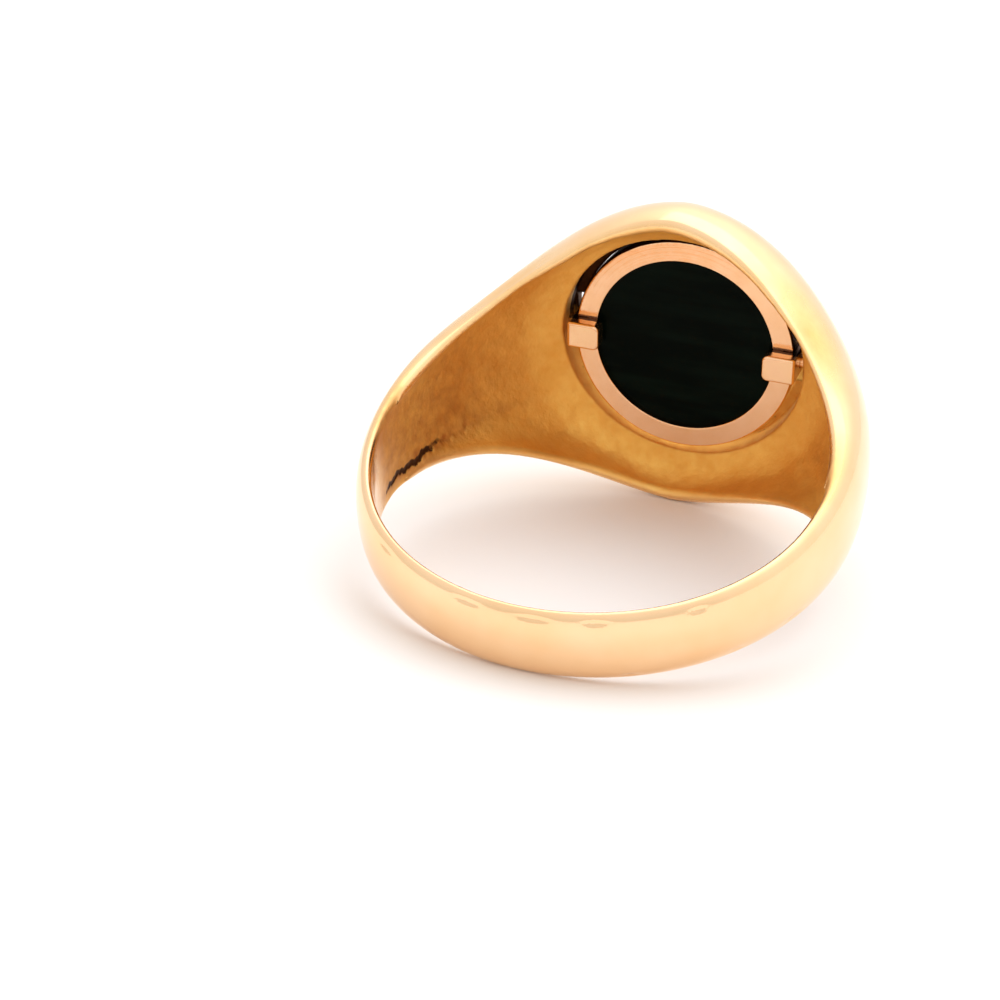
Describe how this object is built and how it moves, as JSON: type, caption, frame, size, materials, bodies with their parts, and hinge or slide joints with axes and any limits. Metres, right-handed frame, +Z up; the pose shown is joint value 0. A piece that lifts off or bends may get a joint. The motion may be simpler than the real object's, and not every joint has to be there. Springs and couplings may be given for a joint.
{
  "type": "signet ring",
  "caption": "Gold signet ring with a hollow-backed head and a round black stone in a rim that flips over on two pivots.",
  "frame": {"origin": "on the table under the middle of the ring as it lies on its side, at the bottom centre of its bounding box", "axes": "+Z up from the table; +Y from the palm side of the shank to the head; +X from the left shoulder to the right, along the swivel pins"},
  "size_m": [0.0214, 0.0246, 0.0152],
  "materials": {
    "yellow_gold": "polished yellow gold, as cast and only lightly finished inside the head",
    "pin_gold": "drawn gold wire",
    "rose_gold": "satin, slightly pinker gold",
    "boss_gold": "polished gold",
    "onyx": "polished black onyx"
  },
  "bodies": {
    "ring": {"ring_body": "yellow_gold", "pivot_pin_left": "pin_gold", "pivot_pin_right": "pin_gold"},
    "swivel_head": {"swivel_rim": "rose_gold", "retaining_ring": "rose_gold", "onyx_tablet": "onyx", "pivot_boss_left": "boss_gold", "pivot_boss_right": "boss_gold"}
  },
  "joints": [
    {"name": "head_swivel", "type": "hinge", "parent": "ring", "child": "swivel_head", "pos_m": [0, 0.00922, 0.00803], "axis": [1, 0, 0], "continuous": true}
  ]
}
